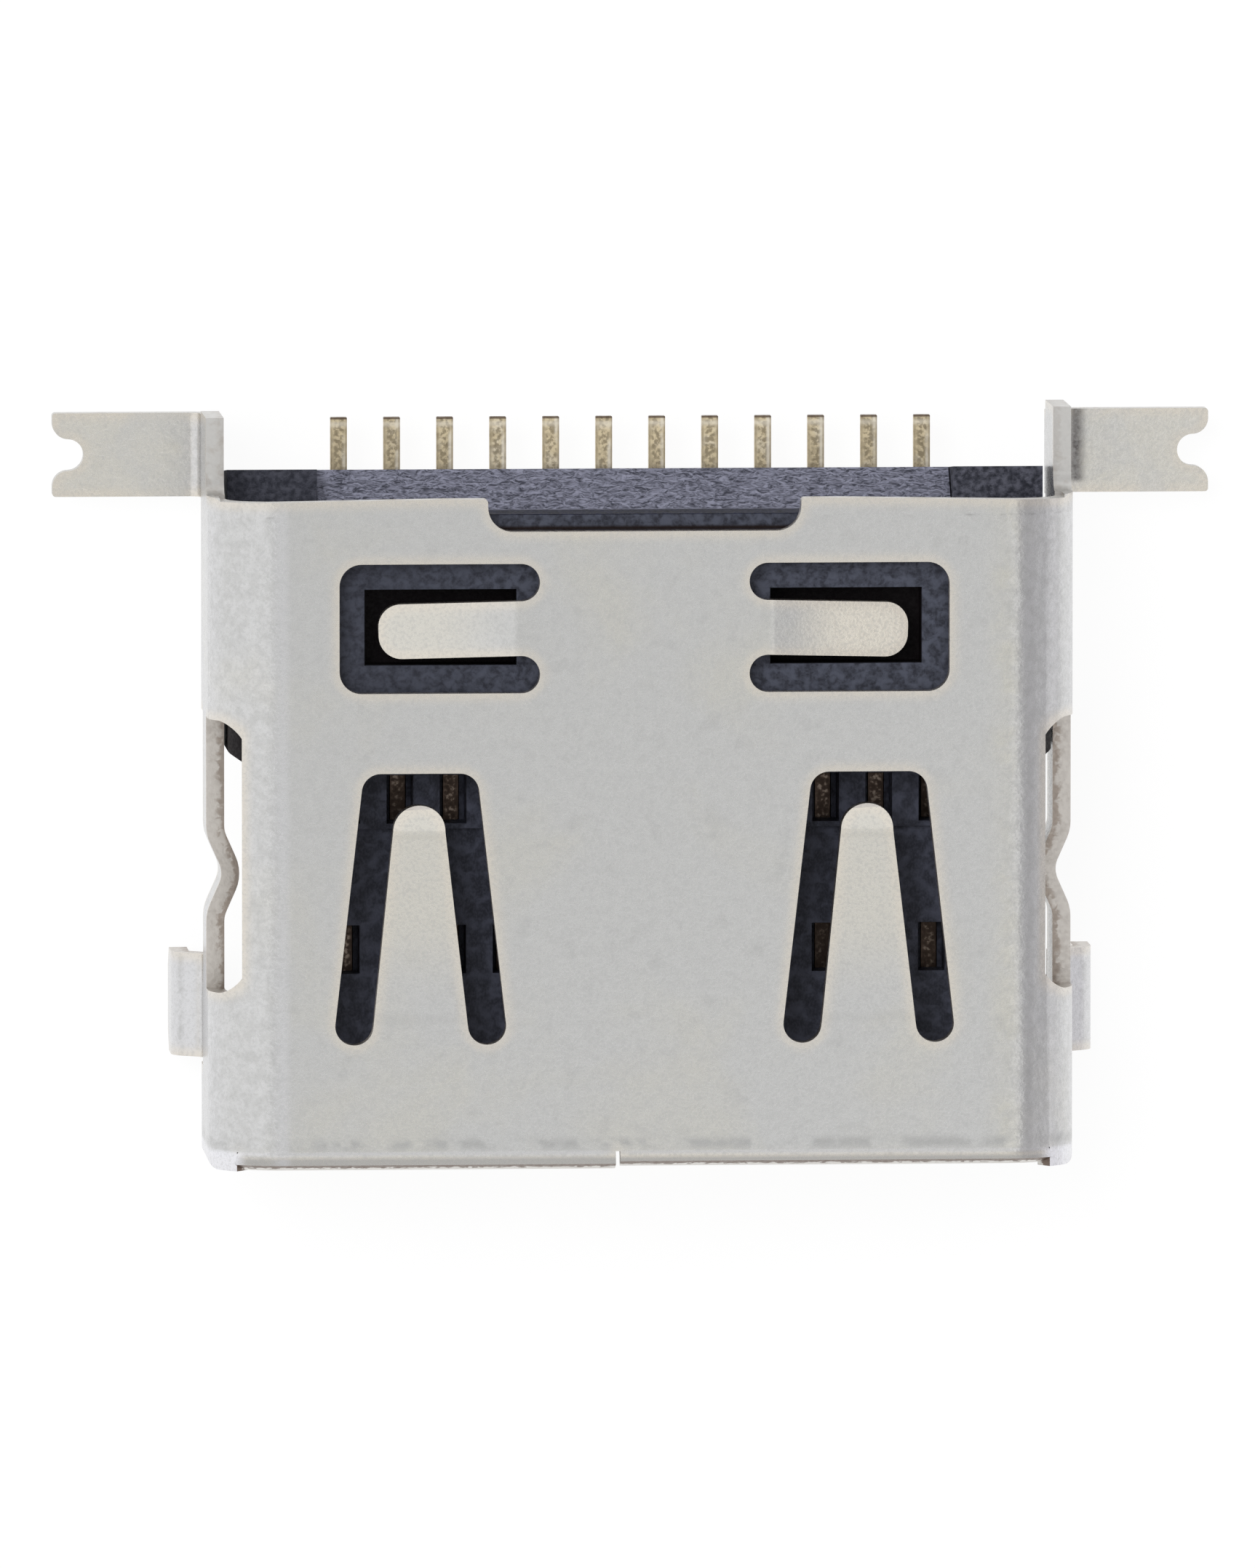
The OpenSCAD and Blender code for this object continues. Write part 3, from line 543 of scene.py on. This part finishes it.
def easeEdges(piece, width, steps, rimSlot=-1, e=easing):
    bpy.ops.object.mode_set(mode="EDIT")
    bpy.ops.mesh.select_all(action="SELECT")
    bpy.ops.mesh.dissolve_limited(angle_limit=math.radians(e["flatAngle"]), delimit={"MATERIAL"})
    bpy.ops.object.mode_set(mode="OBJECT")
    bpy.ops.object.modifier_add(type="BEVEL")
    ease = piece.modifiers[-1]
    ease.width = width
    ease.segments = steps
    ease.limit_method = "ANGLE"
    ease.angle_limit = math.radians(e["sharpAngle"])
    ease.material = rimSlot
    bpy.ops.object.modifier_apply(modifier=ease.name)
    bpy.ops.object.shade_smooth_by_angle(angle=math.radians(e["sharpAngle"]))
    bpy.ops.object.modifier_add(type="WEIGHTED_NORMAL")
    level = piece.modifiers[-1]
    level.weight = e["faceWeight"]
    level.keep_sharp = True
    bpy.ops.object.modifier_apply(modifier=level.name)


def settle(piece, node):
    piece.data.transform(Matrix.Scale(mm, 4))
    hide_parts(node)
    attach(piece, "root")


# lengths in millimetres, angles in degrees; hub is the middle of the right upper bend in X and Z
shellSpec = {
    "sheet": 0.27, "spare": 1.25, "opposed": -0.9, "touch": 0.001, "ease": 0.035, "steps": 2,
    "hub": (5.45, 2.35), "gapY": -4.77, "lipTurn": 37.0, "turnSlack": 0.3, "cheekTurn": 38.46,
    "postY": 4.75, "wallX": 5.95, "bendX": 5.4, "lowZ": 1.0, "midZ": 1.7, "rise": 0.5,
}
# material slots of the shell
sheetSlot, cutSlot, rimSlot = 0, 1, 2


# a face of the sheet has its other face one thickness behind it, a cut edge hasn't
def markCutEdges(piece, spec):
    mesh = piece.data
    corners = [v.co for v in mesh.vertices]
    tree = BVHTree.FromPolygons(corners, [p.vertices for p in mesh.polygons])
    for face in mesh.polygons:
        start = face.center - face.normal * spec["touch"]
        spot, normal, _, _ = tree.ray_cast(start, -face.normal, spec["sheet"] * spec["spare"])
        isSheet = spot is not None and normal.dot(face.normal) < spec["opposed"]
        face.material_index = sheetSlot if isSheet else cutSlot


# rough direction out of the shell: up, down, or sideways and up at the walls, feet and legs
def outward(spot, spec):
    atBend = abs(spot.x) > spec["bendX"] and spot.z > spec["lowZ"]
    if spot.y > spec["postY"] or abs(spot.x) > spec["wallX"] or atBend:
        return Vector((math.copysign(1.0, spot.x), 0, spec["rise"]))
    return Vector((0, 0, 1 if spot.z > spec["midZ"] else -1))


def sheetSides(piece, spec):
    mesh = piece.data
    corners = [v.co.copy() for v in mesh.vertices]
    outer, inner = [], []
    for face in mesh.polygons:
        if face.material_index == sheetSlot:
            facesOut = face.normal.dot(outward(face.center, spec)) > 0
            (outer if facesOut else inner).append(tuple(face.vertices))
    return BVHTree.FromPolygons(corners, outer), BVHTree.FromPolygons(corners, inner)


# the lip's ends are pushed against the cheeks, as no gap is seen there
def closeLipGaps(piece, spec):
    hubX, hubZ = spec["hub"]
    pushed = math.radians(spec["cheekTurn"])
    for vertex in piece.data.vertices:
        spot = vertex.co
        turn = math.degrees(math.atan2(abs(spot.x) - hubX, spot.z - hubZ))
        if spot.y < spec["gapY"] and abs(turn - spec["lipTurn"]) < spec["turnSlack"]:
            reach = math.hypot(abs(spot.x) - hubX, spot.z - hubZ)
            spot.x = math.copysign(hubX + reach * math.sin(pushed), spot.x)
            spot.z = hubZ + reach * math.cos(pushed)


# the cut edges in triangles from outer to inner edge, so that a value runs straight across them
def splitCutFaces(piece):
    piece.active_material_index = cutSlot
    bpy.ops.object.mode_set(mode="EDIT")
    bpy.ops.mesh.select_all(action="DESELECT")
    bpy.ops.object.material_slot_select()
    bpy.ops.mesh.quads_convert_to_tris(quad_method="BEAUTY", ngon_method="BEAUTY")
    bpy.ops.object.mode_set(mode="OBJECT")


# share of the way through the sheet, 0 at its outer face and 1 at its inner face
def markInward(piece, outer, inner, spec):
    share = piece.data.attributes.new("inward", "FLOAT", "POINT")
    for vertex, mark in zip(piece.data.vertices, share.data):
        fromOuter = outer.find_nearest(vertex.co)[3]
        fromInner = inner.find_nearest(vertex.co)[3]
        mark.value = fromOuter / max(fromOuter + fromInner, spec["touch"])


def makeShell(spec):
    piece = takeSolid("shell", "folded_shell")
    for look in ("plating", "sheared", "rim"):
        piece.data.materials.append(finish[look])
    markCutEdges(piece, spec)
    outer, inner = sheetSides(piece, spec)
    closeLipGaps(piece, spec)
    easeEdges(piece, spec["ease"], spec["steps"], rimSlot)
    splitCutFaces(piece)
    markInward(piece, outer, inner, spec)
    settle(piece, "shell")


mouldSpec = {"ease": 0.03, "steps": 3}
contactSpec = {"ease": 0.015, "steps": 2}


def makeMoulding(node, name, look, spec):
    piece = takeSolid(node, name)
    piece.data.materials.append(finish[look])
    easeEdges(piece, spec["ease"], spec["steps"])
    settle(piece, node)


makeShell(shellSpec)
makeMoulding("housing", "housing_block", "black", mouldSpec)
makeMoulding("contact_carrier", "tongue_carrier", "slate", mouldSpec)
for node in sorted(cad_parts):
    if node.startswith("contact_") and node != "contact_carrier":
        makeMoulding(node, node + "_strip", "gold", contactSpec)
print("pieces made for", len(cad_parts), "nodes")

# studio: pale floor, white surround, a soft key lamp and grey cards that only the metal shows
studio = {
    "floorSize": 2.0, "floorColour": (0.9, 0.9, 0.9, 1), "floorRough": 0.9, "floorGlow": 0.85,
    "floorLight": 1.065, "surround": 0.55, "cardSides": 64,
    "keyEnergy": 0.9, "keySize": 0.3, "keyPlace": (-0.18, 0.12, 0.42),
}
# each card: middle, half width and half height in metres, the way it faces, colour,
# glow at foot, middle and top
cards = {
    "lens_card": {"place": (0.0, 0.0, 0.2), "half": (0.038, 0.038), "facing": (0, 0, 1),
                  "round": True, "colour": (1.0, 1.0, 0.985, 1), "glow": (0.71, 0.71, 0.71)},
    "right_card": {"place": (0.15, 0.0, 0.225), "half": (0.3, 0.135), "facing": (1, 0, 0),
                   "round": False, "colour": (0.985, 0.97, 1.0, 1), "glow": (0.56, 0.525, 0.46)},
    "right_skirt": {"place": (0.15, 0.0, 0.045), "half": (0.3, 0.045), "facing": (1, 0, 0),
                    "round": False, "colour": (0.985, 0.975, 1.0, 1), "glow": (1.0, 0.8, 0.57)},
    "low_card": {"place": (0.09, 0.0, -0.0004), "half": (0.07, 0.3), "facing": (0, 0, 1),
                 "round": False, "colour": (0.985, 0.975, 1.0, 1), "glow": (0.79, 0.79, 0.79)},
    "rear_card": {"place": (0.0, 0.15, 0.21), "half": (0.3, 0.16), "facing": (0, 1, 0),
                  "round": False, "colour": white, "glow": (0.72, 0.72, 0.72)},
}


def seenDirectly(tree):
    path = addNode(tree, "LightPath").outputs
    seen = maths(tree, "MAXIMUM", path["Is Camera Ray"], path["Is Glossy Ray"])
    return maths(tree, "MAXIMUM", seen, path["Is Transmission Ray"])


def makeFloor(s):
    bpy.ops.object.select_all(action="DESELECT")
    bpy.ops.mesh.primitive_plane_add(size=s["floorSize"], location=(0, 0, cadBox[0].z))
    floor = bpy.context.object
    floor.name = "studio_floor"
    matt = {"Base Color": s["floorColour"], "Roughness": s["floorRough"]}
    material, tree, shader = newMaterial("paleFloor", matt)
    glow = addNode(tree, "Emission", {"Color": white, "Strength": s["floorLight"]})
    mix = addNode(tree, "MixShader", {"Fac": times(tree, seenDirectly(tree), s["floorGlow"])})
    tree.links.new(shader.outputs[0], mix.inputs[1])
    tree.links.new(glow.outputs[0], mix.inputs[2])
    tree.links.new(mix.outputs[0], tree.nodes["Material Output"].inputs["Surface"])
    floor.data.materials.append(material)


def makeSurround(s):
    world = bpy.data.worlds.new("whiteSurround")
    bpy.context.scene.world = world
    world.use_nodes = True
    tree = world.node_tree
    background = tree.nodes["Background"].inputs
    feed(tree, background["Color"], white)
    feed(tree, background["Strength"], spread(tree, seenDirectly(tree), (s["surround"], 1.0)))


def makeCard(name, c, s):
    bpy.ops.object.select_all(action="DESELECT")
    if c["round"]:
        bpy.ops.mesh.primitive_circle_add(vertices=s["cardSides"], radius=1.0, fill_type="NGON")
    else:
        bpy.ops.mesh.primitive_plane_add(size=2.0)
    card = bpy.context.object
    card.name = name
    card.scale = (c["half"][0], c["half"][1], 1)
    card.rotation_euler = Vector(c["facing"]).to_track_quat("Z", "Y").to_euler()
    card.location = c["place"]
    card.visible_camera = card.visible_diffuse = card.visible_shadow = False
    material = bpy.data.materials.new(name)
    material.use_nodes = True
    tree = material.node_tree
    tree.nodes.remove(tree.nodes["Principled BSDF"])
    height = axes(tree)["Y"]
    foot, middle, top = c["glow"]
    low = remap(tree, height, -1.0, 0.0, foot, middle)
    high = remap(tree, height, 0.0, 1.0, 0.0, top - middle)
    glow = addNode(tree, "Emission", {"Color": c["colour"],
                                      "Strength": maths(tree, "ADD", low, high)})
    tree.links.new(glow.outputs[0], tree.nodes["Material Output"].inputs["Surface"])
    card.data.materials.append(material)


def makeKey(s):
    bpy.ops.object.light_add(type="AREA", location=s["keyPlace"])
    lamp = bpy.context.object
    lamp.name = "soft_key"
    lamp.data.shape = "DISK"
    lamp.data.size = s["keySize"]
    lamp.data.energy = s["keyEnergy"]
    lamp.rotation_euler = Vector(s["keyPlace"]).to_track_quat("Z", "Y").to_euler()
    lamp.visible_glossy = False


makeFloor(studio)
makeSurround(studio)
for cardName, cardSpec in cards.items():
    makeCard(cardName, cardSpec, studio)
makeKey(studio)

# the photo's size in pixels, a pixel's size at the target and the distance in millimetres,
# the lean of the view in degrees
view = {
    "wide": 1725, "high": 2156, "pixel": 0.01088, "distance": 400.0,
    "fromLeft": 3.8, "fromRear": 5.0, "target": (-0.26, 0.76, 3.4),
    "sensor": 36.0, "clip": (0.01, 10.0),
}


def makeCamera(v):
    lens = bpy.data.cameras.new("photo_view")
    camera = bpy.data.objects.new("photo_view", lens)
    bpy.context.scene.collection.objects.link(camera)
    leanX, leanY = math.radians(v["fromLeft"]), math.radians(v["fromRear"])
    back = Vector((-math.sin(leanX), math.sin(leanY), 1)).normalized()
    right = Vector((0, 1, 0)).cross(back).normalized()
    up = back.cross(right)
    place = (Vector(v["target"]) + v["distance"] * back) * mm
    turned = Matrix((right, up, back)).transposed()
    camera.matrix_world = Matrix.Translation(place) @ turned.to_4x4()
    lens.sensor_width = v["sensor"]
    lens.lens = v["sensor"] * v["distance"] / v["pixel"] / max(v["wide"], v["high"])
    lens.clip_start, lens.clip_end = v["clip"]
    bpy.context.scene.camera = camera


makeCamera(view)
bpy.context.scene.view_settings.view_transform = "Standard"
print("studio and camera made")
